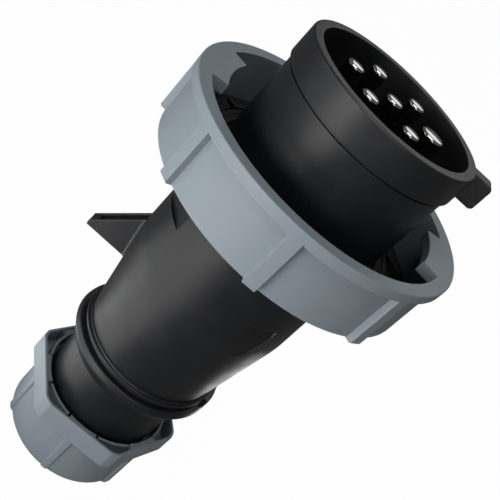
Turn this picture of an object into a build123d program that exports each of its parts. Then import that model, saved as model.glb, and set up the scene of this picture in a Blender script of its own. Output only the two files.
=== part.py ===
"""Industrial power plug with seven pins, a bayonet locking ring and a cable gland.

The plug stands on the rear face of its gland nut. The origin is the centre of the cable
entry there, +Z runs along the plug towards the pins, and +X points at the key and the
earth pin. The fin on the rear housing points at -X. All sizes are in millimetres.
"""
from build123d import *
from math import asin, atan2, cos, degrees, pi, radians, sin, sqrt, tan
import os

os.makedirs("parts", exist_ok=True)

# Overall stations along the plug
overall_length = 182.5
ring_setback = 27.8
seat_gap = 0.3
running_gap = 0.08

# Pin collar, its front band and its cavity
collar_radius = 32.4
collar_wall = 3.7
collar_foot_step = 1.4
band_height = 10.6
band_step = 1.0
rim_chamfer = 0.7
band_round = 0.3
foot_round = 1.2
flange_round = 0.5
cavity_depth = 39.5

# Key on the collar
key_reach = 6.8
key_width = 5.6
key_length = 9.5
key_groove_width = 0.5
key_groove_depth = 0.45
key_front_land = 2.1
key_rear_land = 2.2
key_corner = 1.6

# Pins and their terminals
pin_circle_radius = 15.4
pin_recess = 0.6
pin_dome = 0.35
pin_tip_round = 0.9
phase_pin_radius = 3.0
earth_pin_radius = 4.0
barrel_wall = 1.6
barrel_round = 0.3
phase_wire_radius = 2.8
earth_wire_radius = 3.6
barrel_length = 22.0
pin_stop_height = 2.0
pin_stop_width = 0.6
pin_shank_step = 0.5
pin_shoulder_height = 0.3
clamp_screw_radius = 2.0
clamp_screw_length = 6.0
clamp_screw_height = 5.5
screw_slot_width = 0.8
screw_slot_depth = 1.0
pin_clearance = 0.1

# Locking ring
ring_radius = 51.6
ring_length = 23.7
ring_wall = 4.9
ring_band_height = 3.4
ring_web = 2.6
rib_count = 8
rib_width = 4.8
rib_relief = 2.2
ring_edge = 0.5
lug_reach = 5.9
lug_thickness = 4.0
lug_half_angle = 16.0
lug_angles = (0.0, 180.0)
ring_turn = 40.0
stop_width = 5.0
stop_height = 3.6
stop_depth = 2.4
stop_angles = (90.0, 270.0)

# Flange, hub and spigot of the front housing
flange_gap = 0.4
flange_thickness = 3.2
hub_step = 3.0
hub_drop = 6.0
spigot_length = 13.0
spigot_gap = 0.3
spigot_wall = 2.6
web_ledge = 4.4
web_thickness = 5.5
pin_margin = 1.0
arc_edge_margin = 3.4
arc_height = 2.4
arc_start_angle = 9.0
arc_end_angle = 152.3
click_start_angle = 153.6
click_end_angle = 159.0
click_height = 1.3

# Seals
gasket_width = 4.4
gasket_thickness = 2.4
gasket_foot_gap = 1.2
gasket_rim_gap = 0.9
oring_radius = 0.95
oring_drop = 10.0
oring_play = 0.05

# Contact carrier and terminal block
carrier_length = 14.7
block_length = 24.2
barrier_length = 7.0
barrier_wall = 1.2
barrier_ring_radius = 6.8
carrier_screw_inset = 2.0
carrier_screw_radius = 1.25
carrier_screw_head = 2.4
carrier_screw_head_height = 1.8
carrier_screw_bite = 3.8
carrier_screw_angles = (30.0, 210.0)

# Rear housing
body_wall = 2.8
body_taper = 5.5
front_flange_step = 6.5
front_flange_height = 5.5
front_cone_drop = 4.0
straight_length = 33.2
lip_height = 58.0
lip_thickness = 1.4
lip_step = 1.9
lip_round = 0.5
taper_round = 30.0
bead_round = 1.2
groove_width = 1.2
groove_depth = 1.1
bead_reach = 3.8
bead_crest_drop = 2.4
bead_heel_drop = 6.7
bead_heel_depth = 2.3
bead_width = 8.4
ear_front_drop = 0.4
ear_chord_depth = 3.2
ear_chord_angle = -18.6
ear_end_angle = -13.5
stub_radius = 23.3
stub_start = 12.0
stub_bore_radius = 18.6
seal_shoulder = 30.0
seal_shoulder_thickness = 3.0
seal_shoulder_radius = 15.5
scoop_angles = (-52.0, 128.0)
scoop_depth = 0.8
scoop_setback = 24.9
scoop_length = 16.0
scallop_angles = (-152.0, 28.0)
scallop_depth = 1.2
scallop_setback = 7.3
scallop_length = 11.2
scallop_width = 18.0

# Fin on the rear housing
fin_width = 6.0
fin_height = 14.5
fin_setback = 0.9
fin_fall = 14.9
fin_tip_width = 1.8
fin_foot_drop = 0.6
fin_cheek = 1.3
fin_channel_depth = 2.4
fin_channel_end = 1.8

# Housing screws
housing_screw_drop = 5.4
housing_screw_radius = 1.5
housing_screw_head = 2.5
housing_screw_head_height = 1.7
housing_screw_gap = 0.15

# Gland nut
nut_length = 29.5
hex_apothem = 27.6
hex_corner_radius = 30.9
hex_height = 8.4
hex_pocket_apothem = 26.5
hex_pocket_depth = 0.8
nut_skirt_radius = 26.1
nut_skirt_round = 3.5
nut_rib_width = 2.6
nut_rib_height = 1.0
nut_rear_wall = 3.2
nut_mouth_radius = 24.7
tongue_wall = 0.95
tongue_half_angle = 14.5
tongue_slot = 1.0
tongue_drop = 0.5
pocket_depth = 7.0
cable_entry_radius = 12.6
nut_travel = 6.0

# Gland inserts
thrust_ring_thickness = 1.6
insert_bore_radius = 13.2
cage_base_height = 3.5
cage_outer_radius = 20.8
finger_count = 12
finger_length = 13.0
finger_wall = 1.5
finger_slot = 1.4
finger_root = 0.5
seal_bore_radius = 11.0
seal_ridge_depth = 0.8
seal_ridge_count = 4

# Sizes that follow from the driving dimensions
rim_z = overall_length
cavity_radius = collar_radius - collar_wall
collar_foot_radius = collar_radius - collar_foot_step
cavity_floor_z = rim_z - cavity_depth
band_z = rim_z - band_height
ring_front_z = rim_z - ring_setback
ring_rear_z = ring_front_z - ring_length
ring_inner_radius = ring_radius - ring_wall
lug_inner_radius = ring_inner_radius - lug_reach
web_top_z = ring_rear_z + ring_web
flange_rear_z = web_top_z + seat_gap
flange_front_z = flange_rear_z + flange_thickness
flange_radius = ring_inner_radius - flange_gap
gasket_inner_radius = collar_foot_radius + gasket_foot_gap
gasket_outer_radius = gasket_inner_radius + gasket_width
arc_inner_radius = gasket_outer_radius + gasket_rim_gap
arc_outer_radius = flange_radius - arc_edge_margin
hub_rear_z = ring_rear_z - hub_drop
spigot_rear_z = hub_rear_z - spigot_length
web_bore_radius = pin_circle_radius + earth_pin_radius + pin_shank_step + pin_margin
carrier_bore_radius = web_bore_radius + web_ledge
spigot_radius = carrier_bore_radius + spigot_wall
body_bore_radius = spigot_radius + spigot_gap
body_radius = body_bore_radius + body_wall
hub_radius = body_radius + hub_step
carrier_screw_circle = web_bore_radius + carrier_screw_inset
web_rear_z = cavity_floor_z - web_thickness
carrier_radius = carrier_bore_radius - seat_gap
carrier_boss_radius = web_bore_radius - seat_gap
carrier_front_z = web_rear_z - seat_gap
carrier_rear_z = carrier_front_z - carrier_length
block_front_z = carrier_rear_z - seat_gap
block_rear_z = block_front_z - block_length
pin_stop_front_z = block_front_z
pin_tip_z = rim_z - pin_recess
pin_shoulder_z = cavity_floor_z + pin_shoulder_height
barrel_front_z = pin_stop_front_z - pin_stop_height
barrel_rear_z = barrel_front_z - barrel_length
clamp_screw_z = barrel_rear_z + clamp_screw_height
housing_front_z = ring_rear_z - seat_gap
front_flange_radius = body_radius + front_flange_step
housing_screw_height = hub_rear_z - housing_screw_drop
scoop_flat = body_radius - scoop_depth
scoop_front = housing_front_z - scoop_setback
scallop_flat = body_radius - scallop_depth
scallop_front = housing_front_z - scallop_setback
scallop_rear = scallop_front - scallop_length
taper_start = housing_front_z - straight_length
counterbore_radius = hub_radius + seat_gap
counterbore_z = hub_rear_z - seat_gap
oring_z = hub_rear_z - oring_drop
oring_groove_radius = body_bore_radius - 2 * oring_radius - 2 * oring_play
body_end_radius = body_radius - body_taper
lip_radius = body_end_radius + lip_step
groove_radius = lip_radius - groove_depth
lip_rear_z = lip_height - lip_thickness
bead_front_z = lip_rear_z - groove_width
bead_crest_z = bead_front_z - bead_crest_drop
bead_heel_z = bead_front_z - bead_heel_drop
bead_rear_z = bead_front_z - bead_width
bead_radius = body_end_radius + bead_reach
bead_heel_radius = bead_radius - bead_heel_depth
ear_front_z = lip_height - ear_front_drop
fin_reach = body_radius + fin_height
fin_front = taper_start - fin_setback
fin_tip_front = fin_front - fin_fall
fin_tip_rear = fin_tip_front - fin_tip_width
fin_foot = fin_tip_rear - fin_foot_drop
taper_slope = (body_radius - body_end_radius) / (taper_start - lip_height)
hex_rear_z = nut_length - hex_height
ledge_z = nut_length - hex_pocket_depth
pocket_floor_z = nut_length - pocket_depth
nut_bore_radius = stub_radius + running_gap
thrust_ring_rear_z = nut_rear_wall
cage_rear_z = thrust_ring_rear_z + thrust_ring_thickness
cage_base_z = cage_rear_z + cage_base_height
finger_outer_radius = stub_bore_radius - seat_gap
seal_rear_z = cage_base_z + seat_gap
seal_front_z = seal_shoulder - seat_gap
insert_outer_radius = nut_bore_radius - seat_gap
pin_angles = [60.0 * place for place in range(6)]
hex_corner_angles = [60.0 * corner for corner in range(6)]
hex_flat_angles = [60.0 * flat + 30.0 for flat in range(6)]


def turned(outline, rounds=None):
    """Revolve (radius, height) points about Z; rounds maps a point's number to its radius."""
    face = make_face(Polyline(*outline, close=True))
    for number, radius in (rounds or {}).items():
        corner = face.vertices().sort_by_distance((*outline[number], 0))[0]
        face = fillet(corner, radius)
    return revolve(Plane.XZ * face, Axis.Z)


def tube(outer, inner, low, high):
    """Plain tube or washer about Z between two heights."""
    return turned([(inner, low), (outer, low), (outer, high), (inner, high)])


def disc(radius, low, high):
    """Plain cylinder about Z between two heights."""
    return Pos(0, 0, low) * extrude(Circle(radius), high - low)


def sector(outer, inner, start, end, low, high):
    """Part of a tube between two angles in degrees, walls along the radii."""
    span = end - start
    blade = make_face(Polyline((inner, low), (outer, low), (outer, high), (inner, high), close=True))
    return Rot(0, 0, start) * revolve(Plane.XZ * blade, Axis.Z, span)


def brick(low_x, high_x, width, low, high):
    """Box along +X, centred on the X axis across it."""
    long = high_x - low_x
    tall = high - low
    return Pos((low_x + high_x) / 2, 0, (low + high) / 2) * Box(long, width, tall)


def around(shape, angles):
    """Copies of a shape turned about Z, as one list."""
    return [Rot(0, 0, angle) * shape for angle in angles]


def radial_rod(radius, low, high, height):
    """Cylinder along +X between two distances from the axis."""
    return Pos(low, 0, height) * Rot(0, 90, 0) * extrude(Circle(radius), high - low)


def save(shape, name):
    """Write one node's STEP file."""
    shape.label = name
    export_step(shape, f"parts/{name}.step")


def front_housing():
    """Collar, key, flange, hub and spigot, one moulding."""
    outline = [
        (cavity_radius, cavity_floor_z),
        (cavity_radius, rim_z - rim_chamfer / 2),
        (cavity_radius + rim_chamfer / 2, rim_z),
        (collar_radius - rim_chamfer, rim_z),
        (collar_radius, rim_z - rim_chamfer),
        (collar_radius, band_z),
        (collar_radius - band_step, band_z),
        (collar_foot_radius, flange_front_z),
        (flange_radius, flange_front_z),
        (flange_radius, flange_rear_z),
        (hub_radius, flange_rear_z),
        (hub_radius, hub_rear_z),
        (spigot_radius, hub_rear_z),
        (spigot_radius, spigot_rear_z),
        (carrier_bore_radius, spigot_rear_z),
        (carrier_bore_radius, web_rear_z),
        (web_bore_radius, web_rear_z),
        (web_bore_radius, cavity_floor_z),
    ]
    body = turned(outline, {5: band_round, 7: foot_round, 8: flange_round})
    body += key()
    body += flange_arcs()
    body -= tube(spigot_radius + 1, oring_groove_radius, oring_z - oring_radius - oring_play,
                 oring_z + oring_radius + oring_play)
    for angle in stop_angles:
        body -= stop_notch(angle)
    for angle in scallop_angles:
        body -= Rot(0, 0, angle) * radial_rod(housing_screw_radius + housing_screw_gap / 3,
                                              carrier_bore_radius - 1, spigot_radius + 1,
                                              housing_screw_height)
    bite = disc(carrier_screw_radius + housing_screw_gap / 3, web_rear_z - 1,
                web_rear_z + carrier_screw_bite + seat_gap)
    for angle in carrier_screw_angles:
        body -= Rot(0, 0, angle) * Pos(carrier_screw_circle, 0, 0) * bite
    return body


def key():
    """Key on the collar: rounded outer corners, two radial grooves in each side."""
    low = rim_z - key_length
    block = brick(collar_radius - 1.5, collar_radius + key_reach, key_width, low, rim_z)
    outer = block.edges().filter_by(Axis.Y).sort_by(Axis.X)[-2:]
    block = fillet(outer, key_corner)
    sides = block.edges().filter_by(Axis.Z).sort_by(Axis.X)[-2:]
    block = fillet(sides, 0.4)
    for height in (rim_z - key_front_land, low + key_rear_land):
        for side in (-1, 1):
            groove = Box(key_reach + 1, 2 * key_groove_depth, key_groove_width)
            middle = collar_radius + (key_reach + 1) / 2
            block -= Pos(middle, side * key_width / 2, height) * groove
    return block


def flange_arcs():
    """Two raised arcs on the flange outside the gasket, each with a click wedge beyond its end."""
    made = []
    for base in lug_angles:
        made.append(sector(arc_outer_radius, arc_inner_radius, base + arc_start_angle,
                           base + arc_end_angle, flange_front_z - 0.5, flange_front_z + arc_height))
        wedge = sector(arc_outer_radius, arc_inner_radius, base + click_start_angle,
                       base + click_end_angle, flange_front_z - 0.5, flange_front_z + click_height)
        top = wedge.faces().sort_by(Axis.Z)[-1]
        ends = [edge for edge in top.edges() if edge.geom_type == GeomType.LINE]
        way = Rot(0, 0, base + click_end_angle) * Pos(arc_inner_radius, 0, 0)
        far = min(ends, key=lambda edge: (edge.center() - way.position).length)
        made.append(chamfer(far, click_height * 0.9))
    return made


def stop_notch(angle):
    """Gap in the flange's edge in which a stop of the ring travels, clockwise from the front."""
    margin = degrees((stop_width / 2 + seat_gap) / ring_inner_radius)
    floor = ring_inner_radius - stop_depth - seat_gap
    return sector(flange_radius + 2, floor, angle - ring_turn - margin, angle + margin,
                  flange_rear_z - 1, flange_front_z + 1)


def locking_ring():
    """Bayonet ring: flat front, recessed panels between ribs, two inner lugs, rear web."""
    panel_radius = ring_radius - rib_relief
    band_rear_z = ring_front_z - ring_band_height
    outline = [
        (hub_radius + running_gap, ring_rear_z),
        (panel_radius, ring_rear_z),
        (panel_radius, band_rear_z),
        (ring_radius, band_rear_z),
        (ring_radius, ring_front_z),
        (ring_inner_radius, ring_front_z),
        (ring_inner_radius, web_top_z),
        (hub_radius + running_gap, web_top_z),
    ]
    ring = turned(outline, {1: 0.8, 2: 0.4, 4: ring_edge, 5: 0.25, 6: 1.0})
    rib = brick(panel_radius - 1.5, ring_radius + 1, rib_width, ring_rear_z, band_rear_z + 1)
    rib &= disc(ring_radius, ring_rear_z, band_rear_z + 1)
    foot = rib.edges().filter_by(GeomType.CIRCLE).sort_by(Axis.Z)[0]
    rib = chamfer(foot, 0.8)
    ring += around(rib, [360.0 / rib_count * number for number in range(rib_count)])
    lug = sector(ring_inner_radius + 1, lug_inner_radius, -lug_half_angle, lug_half_angle,
                 ring_front_z - lug_thickness, ring_front_z)
    ring += around(lug, lug_angles)
    stop = brick(ring_inner_radius - stop_depth, ring_inner_radius + 1, stop_width, web_top_z - 0.5,
                 web_top_z + stop_height)
    ring += around(stop, stop_angles)
    return ring


def pin(pin_radius, wire_radius):
    """Turned pin on the Z axis: domed tip, stop collar, terminal barrel with its two holes."""
    barrel_radius = wire_radius + barrel_wall
    stop_radius = barrel_radius + pin_stop_width
    shank_radius = pin_radius + pin_shank_step
    dome_radius = (pin_radius**2 + pin_dome**2) / (2 * pin_dome)
    dome_angle = degrees(asin(pin_radius / dome_radius))
    dome = JernArc((0, pin_tip_z), (1, 0), dome_radius, -dome_angle)
    side = Polyline(
        (0, barrel_rear_z),
        (barrel_radius, barrel_rear_z),
        (barrel_radius, barrel_front_z),
        (stop_radius, barrel_front_z),
        (stop_radius, pin_stop_front_z),
        (shank_radius, pin_stop_front_z),
        (shank_radius, pin_shoulder_z),
        (pin_radius, pin_shoulder_z),
        dome @ 1,
    )
    face = make_face([side, dome, Line(side @ 0, dome @ 0)])
    face = fillet(face.vertices().sort_by_distance(dome @ 1)[0], pin_tip_round)
    face = fillet(face.vertices().sort_by_distance((barrel_radius, barrel_rear_z, 0))[0], barrel_round)
    body = revolve(Plane.XZ * face, Axis.Z)
    wire_depth = barrel_length * 0.6
    body -= disc(wire_radius, barrel_rear_z - 1, barrel_rear_z + wire_depth)
    hole = clamp_screw_radius + pin_clearance / 2
    body -= radial_rod(hole, 0, stop_radius + 1, clamp_screw_z)
    return body


def place_pins():
    """All seven pins, each with its node name and place, earth first."""
    earth = pin(earth_pin_radius, earth_wire_radius)
    phase = pin(phase_pin_radius, phase_wire_radius)
    placed = {"earth_pin": Pos(pin_circle_radius, 0, 0) * earth}
    for number, angle in enumerate(pin_angles[1:], start=1):
        placed[f"phase_pin_{number}"] = Rot(0, 0, angle) * Pos(pin_circle_radius, 0, 0) * phase
    placed["phase_pin_6"] = Rot(0, 0, 90) * phase
    return placed


def terminal_screws():
    """Seven slotted clamping screws, one in each barrel, driven in from outside."""
    screws = []
    for angle in pin_angles:
        wire = earth_wire_radius if angle == 0 else phase_wire_radius
        screws.append(Rot(0, 0, angle) * Pos(pin_circle_radius, 0, 0) * clamp_screw(wire))
    screws.append(Rot(0, 0, 90) * clamp_screw(phase_wire_radius))
    return Compound(children=screws)


def clamp_screw(wire_radius):
    """Set screw along +X that reaches half way into the wire's hole."""
    low = wire_radius / 2
    high = low + clamp_screw_length
    screw = radial_rod(clamp_screw_radius, low, high, clamp_screw_z)
    slot = Box(2 * screw_slot_depth, 4 * clamp_screw_radius, screw_slot_width)
    return (screw - Pos(high, 0, clamp_screw_z) * slot).solid()


def contact_carrier():
    """Front insulating block with a boss that closes the cavity's floor."""
    outline = [
        (0, carrier_rear_z),
        (carrier_radius, carrier_rear_z),
        (carrier_radius, carrier_front_z),
        (carrier_boss_radius, carrier_front_z),
        (carrier_boss_radius, cavity_floor_z),
        (0, cavity_floor_z),
    ]
    block = turned(outline, {1: 0.5, 4: 0.4})
    for angle in pin_angles:
        radius = earth_pin_radius if angle == 0 else phase_pin_radius
        block -= Rot(0, 0, angle) * Pos(pin_circle_radius, 0, 0) * pin_hole(radius)
    block -= pin_hole(phase_pin_radius)
    through = disc(carrier_screw_radius + housing_screw_gap, carrier_rear_z - 1, cavity_floor_z + 1)
    for angle in carrier_screw_angles:
        block -= Rot(0, 0, angle) * Pos(carrier_screw_circle, 0, 0) * through
    return block


def pin_hole(radius):
    """Hole right through the carrier for a pin's shank."""
    shank_radius = radius + pin_shank_step
    return disc(shank_radius + pin_clearance, carrier_rear_z - 1, cavity_floor_z + 1)


def terminal_block():
    """Rear insulating block: pockets for the barrels, screw ways, star-shaped barriers."""
    block = disc(carrier_radius, block_rear_z, block_front_z)
    inner = barrier_ring_radius - barrier_wall
    star = tube(barrier_ring_radius, inner, block_rear_z - barrier_length, block_rear_z + 0.5)
    blade = brick(barrier_ring_radius - 0.3, carrier_radius - 0.6, barrier_wall,
                  block_rear_z - barrier_length, block_rear_z + 0.5)
    star += around(blade, hex_flat_angles)
    block += star
    for angle in pin_angles:
        wire = earth_wire_radius if angle == 0 else phase_wire_radius
        block -= Rot(0, 0, angle) * Pos(pin_circle_radius, 0, 0) * terminal_pocket(wire)
    block -= Rot(0, 0, 90) * terminal_pocket(phase_wire_radius)
    head_floor = block_rear_z + carrier_screw_head_height + seat_gap
    through = disc(carrier_screw_radius + housing_screw_gap, block_rear_z - 1, block_front_z + 1)
    sink = disc(carrier_screw_head + seat_gap, block_rear_z - barrier_length - 1, head_floor)
    for angle in carrier_screw_angles:
        block -= Rot(0, 0, angle) * Pos(carrier_screw_circle, 0, 0) * (through + sink)
    return block


def terminal_pocket(wire_radius):
    """Pocket for one barrel and its stop collar, with the way in for the screwdriver."""
    barrel_radius = wire_radius + barrel_wall
    stop_radius = barrel_radius + pin_stop_width
    pocket = disc(barrel_radius + pin_clearance, block_rear_z - 1, block_front_z + 1)
    pocket += disc(stop_radius + pin_clearance, barrel_front_z - pin_clearance, block_front_z + 1)
    way = clamp_screw_radius + 4 * pin_clearance
    pocket += radial_rod(way, 0, carrier_radius + 1, clamp_screw_z)
    return pocket


def carrier_screws():
    """Two long screws from the rear through both blocks into the front housing."""
    head_top = block_rear_z + carrier_screw_head_height
    screw = disc(carrier_screw_radius, head_top - 0.2, web_rear_z + carrier_screw_bite)
    head = disc(carrier_screw_head, block_rear_z, head_top)
    slot = Pos(0, 0, block_rear_z) * Box(6 * carrier_screw_radius, screw_slot_width, screw_slot_depth)
    screw = (screw + head - slot).solid()
    placed = Pos(carrier_screw_circle, 0, 0) * screw
    return Compound(children=around(placed, carrier_screw_angles))


def housing_screws():
    """Two radial screws that fix the rear housing to the spigot."""
    tip = carrier_bore_radius + seat_gap
    screw = radial_rod(housing_screw_radius, tip, scallop_flat + 0.3, housing_screw_height)
    head = radial_rod(housing_screw_head, scallop_flat, scallop_flat + housing_screw_head_height,
                      housing_screw_height)
    top = scallop_flat + housing_screw_head_height
    slot = Box(2 * screw_slot_depth, 3 * housing_screw_head, screw_slot_width)
    screw = (screw + head - Pos(top, 0, housing_screw_height) * slot).solid()
    return Compound(children=around(screw, scallop_angles))


def flange_gasket():
    """Flat rubber ring with two lips round the collar's foot."""
    inner = gasket_inner_radius
    outer = gasket_outer_radius
    top = flange_front_z + gasket_thickness
    third = gasket_width / 3
    outline = [
        (inner, flange_front_z),
        (outer, flange_front_z),
        (outer, top),
        (outer - third, top),
        (outer - third * 1.5, top - 0.8),
        (inner + third, top),
        (inner, top),
    ]
    return turned(outline)


def housing_seal():
    """O-ring in the spigot's groove."""
    middle = body_bore_radius - oring_play - oring_radius
    return Pos(0, 0, oring_z) * Torus(middle, oring_radius)


def rear_housing():
    """Tapered body, fin, scoops, bead and threaded stub, one moulding."""
    cone_z = housing_front_z - front_flange_height
    outline = [
        (front_flange_radius, housing_front_z),
        (front_flange_radius, cone_z),
        (body_radius, cone_z - front_cone_drop),
        (body_radius, taper_start),
        (body_end_radius, lip_height),
        (lip_radius, lip_height),
        (lip_radius, lip_rear_z),
        (groove_radius, lip_rear_z),
        (groove_radius, bead_front_z),
    ]
    outline += [
        (bead_radius - 0.6, bead_front_z - 0.1),
        (bead_radius, bead_crest_z),
        (bead_heel_radius, bead_heel_z),
        (stub_radius, bead_rear_z),
        (stub_radius, stub_start),
        (0, stub_start),
        (0, housing_front_z),
    ]
    rounds = {3: taper_round, 5: lip_round, 6: lip_round / 2, 9: bead_round / 2, 10: bead_round,
              11: bead_round}
    body = turned(outline, rounds)
    body += ear()
    body += fin()
    for angle in scoop_angles:
        cut = brick(scoop_flat, body_radius + 2, 2 * body_radius, scoop_front - scoop_length, scoop_front)
        body -= Rot(0, 0, angle) * cut
    for angle in scallop_angles:
        cut = brick(scallop_flat, front_flange_radius + 2, scallop_width, scallop_rear,
                    scallop_rear + scallop_length)
        hole = radial_rod(housing_screw_radius + housing_screw_gap, body_bore_radius - 1,
                          scallop_flat + 1, housing_screw_height)
        body -= Rot(0, 0, angle) * (cut + hole)
    return body - housing_cavity()


def ear():
    """Thin leaf beside the lip: a segment of the bead's circle, cut square at one end."""
    far = bead_radius + 1
    leaf = disc(bead_radius, bead_crest_z, ear_front_z)
    chord = brick(bead_radius - ear_chord_depth, far, 2 * far, bead_crest_z, ear_front_z)
    leaf &= Rot(0, 0, ear_chord_angle) * chord
    beyond = Pos(0, -far / 2, bead_crest_z) * Box(2 * far, far, 2 * (ear_front_z - bead_crest_z) + 1)
    return leaf - Rot(0, 0, ear_end_angle) * beyond


def housing_cavity():
    """Space inside the rear housing, one wall thickness inside its outline."""
    end_z = lip_height + 2.0
    end_radius = body_end_radius - body_wall
    throat_z = seal_shoulder + seal_shoulder_thickness
    outline = [
        (0, housing_front_z + 1),
        (counterbore_radius, housing_front_z + 1),
        (counterbore_radius, counterbore_z),
        (body_bore_radius, counterbore_z),
        (body_bore_radius, taper_start),
        (end_radius, end_z),
        (seal_shoulder_radius + 2.5, throat_z + 4.0),
        (seal_shoulder_radius, throat_z),
        (seal_shoulder_radius, seal_shoulder),
        (stub_bore_radius, seal_shoulder),
        (stub_bore_radius, stub_start - 1),
        (0, stub_start - 1),
    ]
    return turned(outline)


def fin():
    """Triangular fin towards -X with a channel between two cheeks on its sloping edge."""
    root = body_bore_radius + 0.5
    rise = (fin_front - fin_tip_front) / (fin_reach - body_radius)
    front_at_root = fin_front + (body_radius - root) * rise
    low_root = body_end_radius - 1.0
    outline = [
        (-root, front_at_root),
        (-fin_reach, fin_tip_front),
        (-fin_reach, fin_tip_rear),
        (-low_root, fin_foot),
    ]
    plate = extrude(Plane.XZ * make_face(Polyline(*outline, close=True)), fin_width / 2, both=True)
    slope = atan2(fin_front - fin_tip_front, fin_reach - body_radius)
    depth = fin_channel_depth / cos(slope)
    end = fin_reach - fin_channel_end
    end_z = fin_tip_front + (fin_reach - end) * rise
    channel = [
        (-root, front_at_root + 1),
        (-end, end_z + 1),
        (-end, end_z - depth),
        (-root, front_at_root - depth),
    ]
    width = fin_width - 2 * fin_cheek
    slot = extrude(Plane.XZ * make_face(Polyline(*channel, close=True)), width / 2, both=True)
    return plate - slot


def hexagon(apothem, corner_radius, low, high):
    """Hexagonal prism with flats at 30 degrees and its corners cut to a radius."""
    prism = Pos(0, 0, low) * extrude(RegularPolygon(apothem, 6, major_radius=False), high - low)
    return prism & truncation(corner_radius, low, high)


def truncation(corner_radius, low, high):
    """Hexagonal prism turned by 30 degrees that cuts a hexagon's corners."""
    face = RegularPolygon(corner_radius, 6, major_radius=False, rotation=30)
    return Pos(0, 0, low) * extrude(face, high - low)


def gland_nut():
    """Cap nut: hexagon with spring tongues in its corners, ribbed skirt, cable opening."""
    corner_reach = hex_corner_radius * cos(radians(3.3))
    body = hexagon(hex_apothem, corner_reach, hex_rear_z, nut_length)
    skirt = turned([(0, 0), (nut_skirt_radius, 0), (nut_skirt_radius, hex_rear_z + 1), (0, hex_rear_z + 1)],
                   {1: nut_skirt_round})
    body += skirt
    rib_edge = nut_skirt_radius + nut_rib_height
    rib = brick(nut_skirt_radius - nut_skirt_round, rib_edge, nut_rib_width, 0.6, hex_rear_z + 0.5)
    foot = rib.edges().filter_by(Axis.Y).sort_by(Axis.Z)[:2].sort_by(Axis.X)[-1]
    rib = chamfer(foot, 0.8)
    body += around(rib, hex_flat_angles)
    wall = hex_apothem - hex_pocket_apothem
    body -= hexagon(hex_pocket_apothem, corner_reach - wall, ledge_z, nut_length + 1)
    body -= disc(nut_mouth_radius, pocket_floor_z, nut_length + 1)
    body -= disc(nut_bore_radius, nut_rear_wall, nut_length + 1)
    body -= disc(cable_entry_radius, -1, nut_length)
    for angle in hex_corner_angles:
        body -= corner_pocket(angle, corner_reach - wall)
    return body


def corner_pocket(angle, reach):
    """Pocket behind one spring tongue and the two slots that free its ends."""
    inner = nut_mouth_radius + tongue_wall
    half = tongue_half_angle + degrees(tongue_slot / nut_mouth_radius)
    pocket = sector(reach + 4, inner, angle - half, angle + half, pocket_floor_z, nut_length + 1)
    pocket &= hexagon(hex_pocket_apothem, reach, pocket_floor_z, nut_length + 1)
    slot = sector(inner + 0.5, nut_mouth_radius - 0.5, angle - half, angle + half, pocket_floor_z,
                  nut_length + 1)
    slot -= sector(inner + 1, nut_mouth_radius - 1, angle - tongue_half_angle,
                   angle + tongue_half_angle, pocket_floor_z - 1, ledge_z - tongue_drop)
    return pocket + slot


def thrust_ring():
    """Slip washer between the nut's rear wall and the cage."""
    return tube(insert_outer_radius, insert_bore_radius, thrust_ring_rear_z, cage_rear_z)


def clamp_cage():
    """Cage with a ring and forward fingers that the stub squeezes on to the seal."""
    cage = tube(cage_outer_radius, insert_bore_radius, cage_rear_z, cage_base_z)
    fingers = tube(finger_outer_radius, finger_outer_radius - finger_wall, cage_base_z - finger_root,
                   cage_base_z + finger_length)
    gap = brick(finger_outer_radius - 2 * finger_wall, finger_outer_radius + 1, finger_slot,
                cage_base_z, cage_base_z + finger_length + 1)
    for cut in around(gap, [360.0 / finger_count * number for number in range(finger_count)]):
        fingers -= cut
    return cage + fingers


def gland_seal():
    """Rubber bush with inner ridges, thin between the fingers and full at the shoulder."""
    waist_radius = finger_outer_radius - finger_wall - seat_gap
    waist_z = cage_base_z + finger_length + seat_gap
    pitch = (seal_front_z - seal_rear_z) / seal_ridge_count
    outline = [(waist_radius, seal_rear_z), (waist_radius, waist_z)]
    outline += [(finger_outer_radius, waist_z + 1.0), (finger_outer_radius, seal_front_z)]
    for ridge in range(seal_ridge_count, 0, -1):
        high = seal_rear_z + ridge * pitch
        outline.append((seal_bore_radius + seal_ridge_depth, high))
        outline.append((seal_bore_radius, high - pitch / 2))
    outline.append((seal_bore_radius + seal_ridge_depth, seal_rear_z))
    return turned(outline)


def build():
    """Every node, by name."""
    nodes = {
        "front_housing": front_housing(),
        "locking_ring": locking_ring(),
        "flange_gasket": flange_gasket(),
        "contact_carrier": contact_carrier(),
        "terminal_block": terminal_block(),
        "carrier_screws": carrier_screws(),
        "terminal_screws": terminal_screws(),
        "housing_seal": housing_seal(),
        "housing_screws": housing_screws(),
        "rear_housing": rear_housing(),
        "gland_seal": gland_seal(),
        "clamp_cage": clamp_cage(),
        "thrust_ring": thrust_ring(),
        "gland_nut": gland_nut(),
    }
    nodes.update(place_pins())
    return nodes


for node_name, node_shape in build().items():
    save(node_shape, node_name)
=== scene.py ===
"""Looks of a watertight industrial power plug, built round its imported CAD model.

The black housings, the grey locking ring, the grey gland nut, the pins and the flange
gasket are new surfaces in the places of their CAD nodes. The other nodes keep their CAD
shape and get a material. Shapes are worked out in millimetres and put into the meshes in
metres, in the CAD model's own frame: +Z towards the pins, +X at the key and earth pin.
"""

from types import SimpleNamespace

import bmesh
import bpy
import numpy as np
from bpy.props import FloatProperty, FloatVectorProperty, PointerProperty
from mathutils import Matrix, Vector


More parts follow.
